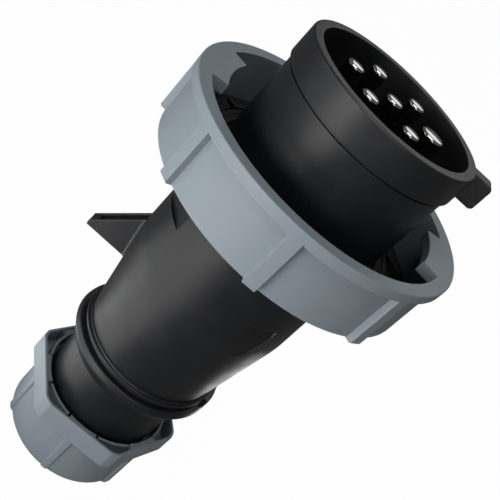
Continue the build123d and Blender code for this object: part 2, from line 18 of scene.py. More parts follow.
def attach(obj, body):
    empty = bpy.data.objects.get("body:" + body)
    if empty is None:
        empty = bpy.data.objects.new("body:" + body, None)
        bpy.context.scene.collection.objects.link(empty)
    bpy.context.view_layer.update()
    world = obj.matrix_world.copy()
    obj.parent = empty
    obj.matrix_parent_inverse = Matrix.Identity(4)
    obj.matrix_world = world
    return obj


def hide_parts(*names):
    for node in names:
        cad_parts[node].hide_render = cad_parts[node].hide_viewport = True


bl_info = {
    "name": "Industrial Plug Looks",
    "version": (1, 0, 0),
    "blender": (4, 5, 0),
    "location": "View3D > Sidebar > Plug",
    "description": "Builds the visible pieces, finishes and studio of an industrial power plug",
    "category": "Object",
}

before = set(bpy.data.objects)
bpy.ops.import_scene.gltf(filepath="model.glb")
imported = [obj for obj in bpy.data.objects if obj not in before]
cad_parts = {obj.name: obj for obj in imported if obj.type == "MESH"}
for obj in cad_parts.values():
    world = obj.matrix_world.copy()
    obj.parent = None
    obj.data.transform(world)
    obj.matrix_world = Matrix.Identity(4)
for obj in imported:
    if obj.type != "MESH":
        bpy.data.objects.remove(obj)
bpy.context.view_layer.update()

MM = 0.001
# Columns round the axis of the large turned pieces.
RING_COLUMNS = 384
# Heights in millimetres that several pieces share.
FLANGE_FRONT = 137.1
ARC_FOOT = 136.9
SEAL_TOP = 139.5
FIN_ROOT_TOP = 96.6
FIN_TIP_TOP = 81.7
TAPER_START = 97.5
# Width of one wave of Blender's band texture at scale 1.
WAVE_WIDTH = 6.28


# Colours and properties

def linear(code):
    """Linear colour with alpha from an sRGB hex code."""
    srgb = np.array([int(code[place:place + 2], 16) for place in (1, 3, 5)]) / 255
    low = srgb / 12.92
    high = ((srgb + 0.055) / 1.055) ** 2.4
    return (*np.where(srgb <= 0.04045, low, high).tolist(), 1.0)


def length(label, about, value):
    """Length property with its default in millimetres."""
    return FloatProperty(name=label, description=about, default=value * MM, unit="LENGTH", precision=5)


def tint(label, about, code):
    """Colour property with its default as an sRGB hex code."""
    return FloatVectorProperty(name=label, description=about, default=linear(code), size=4,
                               subtype="COLOR", min=0, max=1)


class PlugSizes(bpy.types.PropertyGroup):
    """Main sizes of the visible pieces."""
    collar_radius: length("Collar radius", "Outer radius of the pin collar's front band", 32.4)
    cavity_radius: length("Cavity radius", "Inner radius of the pin collar", 28.7)
    rim_height: length("Rim height", "Height of the collar's front rim above the nut's rear face", 182.5)
    ring_radius: length("Ring radius", "Outer radius of the locking ring at its ribs", 51.6)
    ring_relief: length("Panel relief", "Depth of the ring's panels below its ribs", 2.2)
    ring_front: length("Ring front", "Height of the locking ring's front face", 154.7)
    ring_length: length("Ring length", "Length of the locking ring along the plug", 23.7)
    body_radius: length("Body radius", "Outer radius of the rear housing", 31.0)
    bead_radius: length("Bead radius", "Outer radius of the bead before the gland", 29.3)
    fin_reach: length("Fin reach", "Distance of the fin's tip from the plug's axis", 45.5)
    nut_apothem: length("Nut half width", "Half the width across flats of the gland nut", 27.6)
    nut_skirt: length("Nut skirt radius", "Radius of the gland nut's skirt between its ribs", 26.1)
    pin_circle: length("Pin circle", "Radius of the circle on which the outer pins stand", 15.4)
    phase_pin: length("Phase pin radius", "Radius of the six smaller pins", 3.0)
    earth_pin: length("Earth pin radius", "Radius of the larger pin", 4.0)


class PlugColours(bpy.types.PropertyGroup):
    """Colours of the finishes."""
    housing: tint("Housing", "Black of the moulded housings", "#18191c")
    # Lighter black for the edges, partly wear and partly a painted highlight, and for mould marks.
    housing_light: tint("Housing highlights", "Lighter black of worn edges and mould marks", "#46484c")
    ring: tint("Ring and nut", "Grey of the locking ring and the gland nut", "#8b969d")
    # Lighter grey for the edges, partly rubbed wear and partly a painted highlight, and for the colour's
    # drift.
    ring_light: tint("Ring highlights", "Lighter grey of rubbed edges", "#a9b3b9")
    rubber: tint("Rubber", "Black of the seals", "#161616")
    carrier: tint("Contact carrier", "Black of the pin block", "#141516")
    natural: tint("Inserts", "Off-white of the gland inserts", "#cfcdc2")
    nickel: tint("Pins", "Nickel plate of the pins", "#d9d7d1")
    zinc: tint("Screws", "Zinc plate of the screws", "#c4c5c3")
    floor: tint("Floor", "Pale floor", "#f4f4f4")


def in_mm(group):
    """All lengths of a property group, in millimetres."""
    names = group.bl_rna.properties.keys()
    return SimpleNamespace(**{name: getattr(group, name) / MM for name in names
                              if isinstance(getattr(group, name), float)})


# Surfaces

def rounded(corners, radii, steps=5):
    """Closed outline with rounded corners, as an array of points.

    At each corner a circle of the given radius touches both sides; the corner becomes
    points spaced evenly along the arc between the two touching points.
    """
    corner = np.array(corners, float)
    radius = np.broadcast_to(np.array(radii, float), len(corner))[:, None]
    back = np.roll(corner, 1, 0) - corner
    ahead = np.roll(corner, -1, 0) - corner
    back /= np.linalg.norm(back, axis=1, keepdims=True)
    ahead /= np.linalg.norm(ahead, axis=1, keepdims=True)
    opening = np.arccos(np.clip((back * ahead).sum(1, keepdims=True), -1, 1))
    reach = radius / np.tan(opening / 2)
    inward = back + ahead
    inward /= np.maximum(np.linalg.norm(inward, axis=1, keepdims=True), 1e-9)
    centre = corner + inward * radius / np.sin(opening / 2)
    first = (corner + back * reach - centre)[:, None]
    last = (corner + ahead * reach - centre)[:, None]
    sweep = np.maximum(np.pi - opening, 1e-6)[:, None]
    share = np.linspace(0, 1, steps)[None, :, None]
    arc = (np.sin((1 - share) * sweep) * first + np.sin(share * sweep) * last) / np.sin(sweep)
    return (centre[:, None] + arc).reshape(-1, 2)


def turned(outline, angles):
    """Grid of an outline of (radius, height) carried round the Z axis.

    x = radius cos(angle), y = radius sin(angle), z = height. The outline may be one for
    all angles or one for each.
    """
    outline = np.broadcast_to(outline, (len(angles), *np.shape(outline)[-2:]))
    angles = np.asarray(angles)[:, None]
    radius = outline[..., 0]
    return np.stack([radius * np.cos(angles), radius * np.sin(angles), outline[..., 1]], -1)


def columns(count, *features):
    """Angles round the axis in radians: even ones, with more of them at the features' edges."""
    even = np.linspace(-180, 180, count, endpoint=False)
    edges = np.concatenate([np.ravel(feature) for feature in features]) if features else []
    wrapped = (np.concatenate([even, edges]) + 180) % 360 - 180
    return np.radians(np.unique(np.round(wrapped, 4)))


def offset(angles, centres):
    """Signed angle in degrees from each angle to the nearest centre."""
    apart = np.degrees(angles)[:, None] - np.asarray(centres, float)[None]
    apart = (apart + 180) % 360 - 180
    nearest = np.abs(apart).argmin(1)
    return apart[np.arange(len(apart)), nearest]


def plateau(distance, half, edge):
    """1 within half of the middle, 0 beyond half plus edge, an S curve between."""
    share = np.clip((half + edge - np.abs(distance)) / edge, 0, 1)
    return share * share * (3 - 2 * share)


def quads(rows, cols, wrap_rows, wrap_cols, start=0):
    """Faces of a grid as an array of four corners each."""
    down = np.arange(rows if wrap_rows else rows - 1)
    across = np.arange(cols if wrap_cols else cols - 1)
    top, left = np.meshgrid(down, across, indexing="ij")
    below, right = (top + 1) % rows, (left + 1) % cols
    ring = [top * cols + left, top * cols + right, below * cols + right, below * cols + left]
    return np.stack(ring, -1).reshape(-1, 4) + start


def piece(name, body, material, grids, replaced=(), smooth_angle=32):
    """Object from one or more grids of points in millimetres.

    Each grid is (points, wraps round its rows, wraps along its columns). A row end that
    does not wrap is closed by one face, so that every shell is closed. Doubled points
    are merged and the faces turned outwards.
    """
    points, faces, caps, start = [], [], [], 0
    for grid, wrap_rows, wrap_cols in grids:
        rows, cols = grid.shape[:2]
        faces += quads(rows, cols, wrap_rows, wrap_cols, start).tolist()
        if not wrap_rows:
            caps.append(list(range(start, start + cols)))
            caps.append(list(range(start + (rows - 1) * cols, start + rows * cols)))
        points.append(grid.reshape(-1, 3))
        start += rows * cols
    mesh = bpy.data.meshes.new(name)
    mesh.from_pydata((np.concatenate(points) * MM).tolist(), [], faces + caps)
    shape = bmesh.new()
    shape.from_mesh(mesh)
    bmesh.ops.remove_doubles(shape, verts=shape.verts, dist=2e-7)
    bmesh.ops.dissolve_degenerate(shape, edges=shape.edges, dist=2e-7)
    bmesh.ops.recalc_face_normals(shape, faces=shape.faces)
    shape.to_mesh(mesh)
    shape.free()
    mesh.polygons.foreach_set("use_smooth", np.ones(len(mesh.polygons), bool))
    mesh.set_sharp_from_angle(angle=np.radians(smooth_angle))
    mesh.materials.append(material)
    made = bpy.data.objects.new(name, mesh)
    bpy.context.scene.collection.objects.link(made)
    normals = made.modifiers.new("Flat faces stay flat", "WEIGHTED_NORMAL")
    normals.keep_sharp = True
    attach(made, body)
    if replaced:
        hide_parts(*replaced)
    return made


def slab(outline, low, high, edge, steps=4):
    """Grid of a plate: an outline carried between two levels, its two rims rounded.

    Along each rim the outline moves inwards along its normals by edge * (1 - cos) while
    the level moves by edge * (1 - sin), which is a quarter circle.
    """
    turn = np.linspace(0, np.pi / 2, steps)
    inset = edge * (1 - np.sin(turn))
    level = edge * (1 - np.cos(turn))
    inset = np.concatenate([inset, inset[::-1]])
    level = np.concatenate([low + level, high - level[::-1]])
    tangent = np.roll(outline, -1, 0) - np.roll(outline, 1, 0)
    tangent /= np.maximum(np.linalg.norm(tangent, axis=1, keepdims=True), 1e-9)
    normal = np.stack([tangent[:, 1], -tangent[:, 0]], -1)
    ahead = np.roll(outline, -1, 0)
    area = (outline[:, 0] * ahead[:, 1] - ahead[:, 0] * outline[:, 1]).sum()
    flat = outline[None] - np.sign(area) * normal[None] * inset[:, None, None]
    return np.concatenate([flat, np.broadcast_to(level[:, None, None], (*flat.shape[:2], 1))], -1)


# Materials

def add(tree, kind, settings=None, links=None):
    """Shader node with its settings, and its inputs as values or as (node, output) links."""
    node = tree.nodes.new(kind)
    for name, value in (settings or {}).items():
        setattr(node, name, value)
    for name, value in (links or {}).items():
        if isinstance(value, tuple) and isinstance(value[0], bpy.types.Node):
            tree.links.new(value[0].outputs[value[1]], node.inputs[name])
        else:
            node.inputs[name].default_value = value
    return node


def per_mm(size):
    """Texture scale at which one cell of the pattern is this many millimetres."""
    return 1 / (size * MM)


def started(name):
    """Empty material: its tree, its shader and its Object coordinates."""
    material = bpy.data.materials.new(name)
    material.use_nodes = True
    tree = material.node_tree
    tree.nodes.clear()
    shader = add(tree, "ShaderNodeBsdfPrincipled")
    add(tree, "ShaderNodeOutputMaterial", links={"Surface": (shader, "BSDF")})
    place = add(tree, "ShaderNodeTexCoord")
    return material, tree, shader, (place, "Object")


def worn_and_highlit_edges(tree, radius_mm, strength):
    """Mask of edges, to paint them lighter as partly rubbed wear and partly a painted highlight: where the
    normal of a rounded surface leaves the true one.
    """
    soft = add(tree, "ShaderNodeBevel", {"samples": 6}, {"Radius": radius_mm * MM})
    true = add(tree, "ShaderNodeNewGeometry")
    same = add(tree, "ShaderNodeVectorMath", {"operation": "DOT_PRODUCT"},
               {0: (soft, "Normal"), 1: (true, "Normal")})
    return add(tree, "ShaderNodeMapRange", None,
               {"Value": (same, "Value"), "From Min": 1.0, "From Max": 0.82,
                "To Min": 0.0, "To Max": strength})


def moulded(name, base, light, roughness, specular, grain_mm, grain_depth, edge_wear_and_highlight):
    """Injection-moulded plastic.

    Base colour drifts a little over some centimetres, edges are painted lighter, partly as rubbed wear and
    partly as a painted highlight along rounded edges, and a spark-eroded grain breaks up the gloss.
    """
    material, tree, shader, place = started(name)
    drift = add(tree, "ShaderNodeTexNoise", None,
                {"Vector": place, "Scale": per_mm(28), "Detail": 3.0, "Roughness": 0.55})
    grain = add(tree, "ShaderNodeTexNoise", None,
                {"Vector": place, "Scale": per_mm(grain_mm), "Detail": 2.0, "Roughness": 0.6})
    smear = add(tree, "ShaderNodeTexNoise", None,
                {"Vector": place, "Scale": per_mm(7), "Detail": 4.0, "Roughness": 0.6})
    # Lighter edges: partly rubbed wear, partly a painted highlight along rounded edges.
    edges = worn_and_highlit_edges(tree, 0.7, edge_wear_and_highlight)
    mottled = add(tree, "ShaderNodeMapRange", None,
                  {"Value": (drift, "Fac"), "From Min": 0.35, "From Max": 0.65,
                   "To Min": 0.0, "To Max": 0.05})
    share = add(tree, "ShaderNodeMath", {"operation": "ADD", "use_clamp": True},
                {0: (edges, "Result"), 1: (mottled, "Result")})
    colour = add(tree, "ShaderNodeMix", {"data_type": "RGBA"}, {0: (share, "Value"), 6: base, 7: light})
    gloss = add(tree, "ShaderNodeMapRange", None,
                {"Value": (smear, "Fac"), "From Min": 0.3, "From Max": 0.7,
                 "To Min": roughness - 0.05, "To Max": roughness + 0.06})
    bump = add(tree, "ShaderNodeBump", None,
               {"Height": (grain, "Fac"), "Strength": 0.5, "Distance": grain_depth * MM})
    tree.links.new(colour.outputs[2], shader.inputs["Base Color"])
    tree.links.new(gloss.outputs["Result"], shader.inputs["Roughness"])
    tree.links.new(bump.outputs["Normal"], shader.inputs["Normal"])
    shader.inputs["IOR"].default_value = 1.53
    shader.inputs["Specular IOR Level"].default_value = specular
    return material


def plated(name, base, roughness, grain_mm, grain_depth):
    """Plated metal: turned, then plated, so that fine rings round the axis catch the light."""
    material, tree, shader, place = started(name)
    cloud = add(tree, "ShaderNodeTexNoise", None,
                {"Vector": place, "Scale": per_mm(3), "Detail": 3.0, "Roughness": 0.5})
    rings = add(tree, "ShaderNodeTexWave", {"wave_type": "BANDS", "bands_direction": "Z"},
                {"Vector": place, "Scale": per_mm(grain_mm) / WAVE_WIDTH, "Distortion": 0.6, "Detail": 2.0})
    dulled = add(tree, "ShaderNodeMix", {"data_type": "RGBA", "blend_type": "MULTIPLY"},
                 {0: 0.25, 6: base, 7: (cloud, "Fac")})
    gloss = add(tree, "ShaderNodeMapRange", None,
                {"Value": (cloud, "Fac"), "From Min": 0.3, "From Max": 0.7,
                 "To Min": roughness - 0.03, "To Max": roughness + 0.05})
    bump = add(tree, "ShaderNodeBump", None,
               {"Height": (rings, "Fac"), "Strength": 0.2, "Distance": grain_depth * MM})
    tree.links.new(dulled.outputs[2], shader.inputs["Base Color"])
    tree.links.new(gloss.outputs["Result"], shader.inputs["Roughness"])
    tree.links.new(bump.outputs["Normal"], shader.inputs["Normal"])
    shader.inputs["Metallic"].default_value = 1.0
    return material


def finish_of(name):
    """The named finish, made the first time it is asked for."""
    if name in bpy.data.materials:
        return bpy.data.materials[name]
    colours = bpy.context.scene.plug_colours
    # Glass-filled polyamide from an eroded mould: deep black, satin, edges slightly greyed by wear and by a
    # painted highlight.
    if name == "moulded black polyamide":
        return moulded(name, colours.housing, colours.housing_light, roughness=0.4, specular=0.5,
                       grain_mm=0.9, grain_depth=0.03, edge_wear_and_highlight=0.45)
    # The same plastic in blue-grey: satin, with a soft even sheen and paler edges, partly wear and partly a
    # painted highlight.
    if name == "moulded grey polyamide":
        return moulded(name, colours.ring, colours.ring_light, roughness=0.46, specular=0.4,
                       grain_mm=0.9, grain_depth=0.03, edge_wear_and_highlight=0.5)
    # Nitrile rubber, moulded: dull, almost no highlight.
    if name == "moulded nitrile rubber":
        return moulded(name, colours.rubber, colours.housing_light, roughness=0.78, specular=0.3,
                       grain_mm=0.6, grain_depth=0.05, edge_wear_and_highlight=0.15)
    # Black contact block: duller and darker than the housing.
    if name == "moulded black contact block":
        return moulded(name, colours.carrier, colours.housing_light, roughness=0.6, specular=0.3,
                       grain_mm=0.8, grain_depth=0.04, edge_wear_and_highlight=0.2)
    # Uncoloured polyamide: off-white and slightly waxy.
    if name == "moulded natural polyamide":
        return moulded(name, colours.natural, colours.ring_light, roughness=0.5, specular=0.4,
                       grain_mm=0.8, grain_depth=0.03, edge_wear_and_highlight=0.1)
    # Bright nickel over brass: mirror-like tips with faint turning rings.
    if name == "nickel plated brass":
        return plated(name, colours.nickel, roughness=0.09, grain_mm=0.35, grain_depth=0.006)
    # Zinc over steel: whiter and duller than nickel.
    if name == "zinc plated steel":
        return plated(name, colours.zinc, roughness=0.3, grain_mm=0.5, grain_depth=0.02)
    raise ValueError(f"no finish is named {name}")


# Pieces

def made_front_housing(size):
    """Collar, flange, hub and spigot as one turned outline, with the ring's stop gaps in the flange.

    In the gaps the flange's edge steps back by the gap's depth, with an S curve at each side.
    The collar swells to a band before its rim, and a groove runs under the band.
    """
    gaps, gap_half, gap_soft, gap_depth = (69.5, 249.5), 23.2, 0.35, 2.4
    edges = [[mid + side * (gap_half + step * gap_soft) for mid in gaps for side in (-1, 1)]
             for step in (0, 0.25, 0.5, 0.75, 1)]
    angles = columns(RING_COLUMNS, *edges)
    rim, cavity, collar = size.rim_height, size.cavity_radius, size.collar_radius
    band = rim - 10.6
    foot, groove_floor = 31.05, collar - 1.6
    web_bore, web_rear, web_front = 20.9, 137.5, 143.0
    spigot_bore, spigot, spigot_end = 25.3, 27.9, 112.0
    hub, hub_rear = 34.0, 125.0
    flange, flange_rear = 46.3, 133.9
    corners = [(cavity, web_front), (web_bore, web_front), (web_bore, web_rear), (spigot_bore, web_rear),
               (spigot_bore, spigot_end), (spigot, spigot_end), (spigot, hub_rear), (hub, hub_rear),
               (hub, flange_rear), (flange, flange_rear), (flange, FLANGE_FRONT), (foot, FLANGE_FRONT),
               (collar - 1.0, band - 1.1), (groove_floor, band - 0.9), (groove_floor, band), (collar, band),
               (collar, rim), (cavity, rim)]
    radii = [0.5, 0.3, 0.2, 0.2, 0.3, 0.4, 0.2, 0.4, 0.2, 0.3, 0.4, 0.6, 0.1, 0.08, 0.15, 0.3, 0.75, 0.35]
    outline = rounded(corners, radii)
    shaped = np.repeat(outline[None], len(angles), 0)
    flange_edge = outline[:, 0] > flange - 1.8
    shaped[:, flange_edge, 0] -= plateau(offset(angles, gaps), gap_half, gap_soft)[:, None] * gap_depth
    return turned(shaped, angles)


def made_key(size):
    """Key on the collar: a grooved section carried outwards along X, rounded at its outer end.

    The section's height and width shrink towards the end by quarter circles of 1.6 and
    0.45 mm, which rounds the outer corners.
    """
    low, high = size.rim_height - 9.5, size.rim_height - 0.03
    half = 2.8
    floor = half - 0.45
    grooves = [low + 2.2, low + 2.75, high - 2.65, high - 2.1]
    side = [(half, low), (half, grooves[0]), (floor, grooves[0]), (floor, grooves[1]), (half, grooves[1]),
            (half, grooves[2]), (floor, grooves[2]), (floor, grooves[3]), (half, grooves[3]), (half, high)]
    other = [(-across, up) for across, up in reversed(side)]
    section = rounded(side + other, [0.35] + [0.08] * 8 + [0.35, 0.35] + [0.08] * 8 + [0.35], 4)
    root, tip, ease_up, ease_across = size.collar_radius - 1.4, size.collar_radius + 6.8, 1.6, 0.45
    along = tip - ease_up * (1 - np.sin(np.linspace(0, np.pi / 2, 9)))
    along = np.concatenate([[root, tip - ease_up - 1.0], along])
    late = np.clip((along - tip + ease_up) / ease_up, 0, 1)
    shrink_up = ease_up * (1 - np.sqrt(1 - late ** 2))
    late = np.clip((along - tip + ease_across) / ease_across, 0, 1)
    shrink_across = ease_across * (1 - np.sqrt(1 - late ** 2))
    middle, tall = (low + high) / 2, (high - low) / 2
    across = section[None, :, 0] * (1 - shrink_across / half)[:, None]
    up = middle + (section[None, :, 1] - middle) * (1 - shrink_up / tall)[:, None]
    return np.stack([np.broadcast_to(along[:, None], across.shape), across, up], -1)


def made_arc(base):
    """Raised arc on the flange: a plan of two arcs and two ends, carried up with eased edges.

    The end near the base angle slants, the far end is cut along a radius.
    """
    inner, outer, far_end, steps = 37.5, 42.4, 152.3, 110
    slant = np.radians(base + np.array([7.0, 9.3, 12.0, 14.5]))
    slant_reach = np.array([outer, 40.3, 38.4, inner])
    along = np.radians(base + np.linspace(16.0, far_end, steps))
    back = np.radians(base + np.linspace(far_end, 8.5, steps))
    radius = np.concatenate([slant_reach, np.full(steps, inner), np.full(steps, outer)])
    angle = np.concatenate([slant, along, back])
    plan = np.stack([radius * np.cos(angle), radius * np.sin(angle)], -1)
    return slab(plan, ARC_FOOT, SEAL_TOP, 0.25)


def made_click(base):
    """Low wedge beyond an arc's far end, rising towards it: an inner and an outer row of four corners."""
    high_end, low_end = 138.6, 137.2
    rows = []
    for radius, shift in ((38.2, 2.2), (42.0, 0.0)):
        start, stop = np.radians([base + 158.5 + shift, base + 153.5 + shift])
        corners = ((start, ARC_FOOT), (stop, ARC_FOOT), (stop, high_end), (start, low_end))
        rows.append([(radius * np.cos(angle), radius * np.sin(angle), height) for angle, height in corners])
    return np.array(rows)


def made_ring(size):
    """Locking ring: one closed section carried round the axis.

    The section moves between three shapes: plain, outside from the panel to a rib, and
    inside from the wall to a lug. The shares of rib and lug depend on the angle alone.
    At the stops the inner wall comes in by the stop's height.
    """
    ribs = np.arange(8) * 45.0
    lugs = [0.0, 180.0]
    stops = [90.0, 270.0]
    rib_half = np.degrees(2.15 / size.ring_radius)
    rib_soft = np.degrees(0.45 / size.ring_radius)
    lug_half, lug_soft, lug_height = 15.7, 0.45, 5.9
    stop_half, stop_soft, stop_height = 3.3, 0.35, 2.4
    steps = np.linspace(0, 1, 7)
    edges = [[mid + side * (half + soft * step) for mid in mids for side in (-1, 1)]
             for mids, half, soft in ((ribs, rib_half, rib_soft), (lugs, lug_half, lug_soft),
                                      (stops, stop_half, stop_soft))
             for step in steps]
    angles = columns(RING_COLUMNS, *edges)
    front, outer = size.ring_front, size.ring_radius
    rear, panel = front - size.ring_length, outer - size.ring_relief
    bore, band, inner, web = 34.08, front - 3.5, outer - 4.9, rear + 2.6
    start = [(bore, rear), (panel, rear), (panel, band), (outer, band), (outer, front)]
    radii = [0.2, 0.8, 0.12, 0.35, 0.45]
    tail = [(inner, web), (bore, web)]
    plain = rounded(start + [(inner, front), (inner, front - 0.9), (inner, front - 1.5)] + tail,
                    radii + [0.3, 0, 0, 0.8, 0.2], 6)
    lug_inner = inner - lug_height
    lugged = rounded(start + [(lug_inner, front), (lug_inner, front - 4), (inner, front - 4)] + tail,
                     radii + [0.35, 0.35, 0.3, 0.8, 0.2], 6)
    ribbed = rounded([(bore, rear), (outer, rear), (outer, band - 0.4), (outer, band + 0.4), (outer, front),
                      (inner, front), (inner, front - 0.9), (inner, front - 1.5)] + tail,
                     [0.2, 0.8, 0, 0, 0.45, 0.3, 0, 0, 0.8, 0.2], 6)
    rib = plateau(offset(angles, ribs), rib_half, rib_soft)[:, None, None]
    lug = plateau(offset(angles, lugs), lug_half, lug_soft)[:, None, None]
    stop = plateau(offset(angles, stops), stop_half, stop_soft)[:, None]
    section = plain[None] + rib * (ribbed - plain)[None] + lug * (lugged - plain)[None]
    low_wall = (np.abs(plain[:, 0] - inner) < 1.0) & (plain[:, 1] < web + 1)
    section[:, low_wall, 0] -= stop * stop_height
    return turned(section, angles)


def made_pin(radius, wire, place):
    """Pin: turned outline from the wire's hole in the barrel to the tip.

    The tip's height falls with the square of the distance from the axis, down to a
    rounded shoulder.
    """
    barrel, stop, shank, axis = wire + 1.6, wire + 2.2, radius + 0.5, 0.001
    barrel_end, hole_end, stop_rear, stop_front, shank_front, tip = 98.2, 111.4, 120.2, 122.2, 143.3, 181.9
    dome, steps = 0.35, 12
    corners = [(axis, hole_end), (wire, hole_end), (wire, barrel_end), (barrel, barrel_end),
               (barrel, stop_rear), (stop, stop_rear), (stop, stop_front), (shank, stop_front),
               (shank, shank_front), (radius, shank_front), (radius, tip - dome)]
    radii = [0, 0.4, 0.2, 0.3, 0.1, 0.2, 0.2, 0.1, 0.2, 0.1, 0.9]
    # The last corner only gives the shoulder its direction, so its own points are dropped.
    on_dome = (radius * 0.7, tip - dome * 0.5)
    side = rounded([*corners, on_dome], radii + [0], steps)[:-steps]
    share = np.linspace(0.68, 0, steps)
    dome_rows = np.stack([radius * share + axis, tip - dome * share ** 2], -1)
    return turned(np.concatenate([side, dome_rows]), columns(72)) + np.array([*place, 0.0])


def housing_radius(size, height):
    """Outer radius of the rear housing: straight, then a taper that sets in softly."""
    end, end_radius, ease = 58.0, 25.5, 3.0
    slope = (size.body_radius - end_radius) / (TAPER_START - end)
    fall = np.maximum(TAPER_START - height, 0)
    return size.body_radius - slope * (fall - ease * (1 - np.exp(-fall / ease)))


def made_rear_housing(size):
    """Rear housing: a turned wall whose outer radius is cut back by flats.

    Where a flat at distance d crosses the wall, the radius is the smaller of the wall's
    own and d / cos(angle from the flat's middle). A scoop's distance grows towards the
    rear, and its flat stops at a low wall whose angle depends on the height. Close to its
    front wall a scoop is cut deeper. Rows crowd at the end walls of scoops and pockets.
    """
    scoops, scoop_top, scoop_end = (-52.0, 128.0), 107.25, 80.0
    pockets, pocket_top, pocket_end = (-152.0, 28.0), 130.0, 112.2
    edges = [np.arange(mid - 17, mid + 17.1, 1.0) for mid in pockets]
    edges += [np.arange(mid - 17, mid - 2, 0.75) for mid in scoops]
    edges += [np.arange(mid - 2, mid + 10, 0.17) for mid in scoops]
    angles = columns(180, *edges)
    body, bead = size.body_radius, size.bead_radius
    bore, seat, seat_rear, mouth = 28.2, 34.3, 124.7, 130.7
    step = np.array([0.3, 0.12, 0.04, 0.0, -0.04, -0.12, -0.3])
    straight_z = np.concatenate([np.linspace(121.0, 108.0, 12), pocket_end + step,
                                 scoop_top + step, np.linspace(107.0, 97.8, 24)])
    straight_z = np.unique(straight_z)[::-1]
    straight = np.stack([np.full(len(straight_z), body), straight_z], -1)
    taper_z = np.concatenate([np.linspace(TAPER_START, 91.5, 16), np.linspace(91.0, 58.6, 26)])
    taper = np.stack([housing_radius(size, taper_z), taper_z], -1)
    # The last corners of the head and of the rear only close their outlines, so their points are dropped.
    head = rounded([(seat, seat_rear), (seat, mouth), (37.5, mouth), (37.5, 125.2), (body, 121.2),
                    (bore, seat_rear)], [0.2, 0.3, 0.5, 0.8, 0, 0])[:-10]
    lip, lip_front, lip_rear, groove, groove_rear = 27.4, 58.0, 56.6, 26.3, 55.4
    stub, stub_front, stub_end = size.nut_skirt - 2.8, 47.0, 12.0
    seal_bore, seal_floor, cable_bore = 18.6, 30.0, 15.5
    rear = rounded([(taper[-1, 0], lip_front), (lip, lip_front), (lip, lip_rear), (groove, lip_rear),
                    (groove, groove_rear), (bead - 0.6, groove_rear - 0.1), (bead, 53.0), (bead - 2.3, 48.7),
                    (stub, stub_front), (stub, stub_end), (seal_bore, stub_end), (seal_bore, seal_floor),
                    (cable_bore, seal_floor), (cable_bore, 33.0), (18.0, 37.0), (22.7, 60.0),
                    (bore, TAPER_START), (bore, seat_rear), (40.0, 90.0)],
                   [0.6, 0.45, 0.3, 0.3, 0.3, 0.6, 1.6, 0.9, 0.5, 0.4, 0.4, 0.2, 0.3, 0.3, 0.6, 1.0, 2.0,
                    0.2, 0])[:-5]
    outline = np.concatenate([head, straight, taper, rear])
    wall = slice(len(head), len(head) + len(straight) + len(taper))
    shaped = np.repeat(outline[None], len(angles), 0)
    height = outline[wall, 1]
    scoop_side = np.interp(height, [93.2, 95.2, 98.2, 101.2, 103.8], [-1.6, 2.8, 6.1, 8.0, 9.2])
    full_width = 60.0
    for flat, lean, mids, top, end, side in (
            (30.0, 0.0504, scoops, scoop_top, scoop_end, scoop_side),
            (29.8, 0.0, pockets, pocket_top, pocket_end, full_width)):
        away = offset(angles, mids)[:, None]
        limit = (flat + lean * (top - height)) / np.cos(np.radians(np.clip(away, -70, 70)))
        inside = np.clip((top - height) / 0.08 + 0.5, 0, 1) * np.clip((height - end) / 0.08 + 0.5, 0, 1)
        inside = inside * np.clip((side - away) / 0.4 + 0.5, 0, 1)
        deeper = 1 + 0.9 * np.exp(-np.maximum(top - height, 0) / 0.9)
        shaped[:, wall, 0] -= np.maximum(shaped[:, wall, 0] - limit, 0) * inside * deeper
    return turned(shaped, angles)


def made_ear(size):
    """Thin leaf beside the lip: a segment of the bead's circle with a square end."""
    chord, reach = 26.1, size.bead_radius - 0.05
    lean, end = np.radians([-18.6, -13.5])
    point = lean + np.arccos(chord / reach)
    turn = np.linspace(end, point - 0.01, 28)
    back = np.linspace(point, end, 12)
    radius = np.concatenate([np.full(len(turn), reach), chord / np.cos(back - lean)])
    angle = np.concatenate([turn, back])
    plan = np.stack([radius * np.cos(angle), radius * np.sin(angle)], -1)
    return slab(plan, 52.4, 57.6, 0.22)


def fin_rise(size):
    """Slope of the fin's top edge, from its tip up to the housing."""
    return (FIN_ROOT_TOP - FIN_TIP_TOP) / (size.fin_reach - size.body_radius)


def made_fin(size):
    """Fin: two cheeks, the web between them and the wall at the tip, each a rounded plate.

    The plates are drawn in x and z, and carried across in y. Web and wall reach a little
    into the cheeks.
    """
    root, low_root, tip, tip_low = -28.7, -24.5, -size.fin_reach, 79.9
    rise = fin_rise(size)
    top = FIN_ROOT_TOP + (size.body_radius + root) * rise
    wall_root, sunk = tip + 2.4, 0.04
    cheek = rounded([(root, top), (tip, FIN_TIP_TOP), (tip, tip_low), (low_root, 79.3)], [0, 0.5, 0.5, 0], 4)
    web = rounded([(root, top - 3.2), (tip + 2, FIN_TIP_TOP + 2 * rise - 3.0), (tip + 1, 80.6),
                   (low_root, 79.6)], 0, 2)
    wall = rounded([(wall_root, FIN_TIP_TOP + 2.4 * rise - 0.1), (tip + sunk, FIN_TIP_TOP - sunk),
                    (tip + sunk, tip_low + sunk), (wall_root, 79.96)], [0.3, 0.46, 0.46, 0.1], 4)
    plates = [slab(cheek, -3.0, -1.7, 0.3), slab(cheek, 1.7, 3.0, 0.3), slab(web, -2.0, 2.0, 0.05),
              slab(wall, -2.2, 2.2, 0.05)]
    return [plate[..., [0, 2, 1]] for plate in plates]


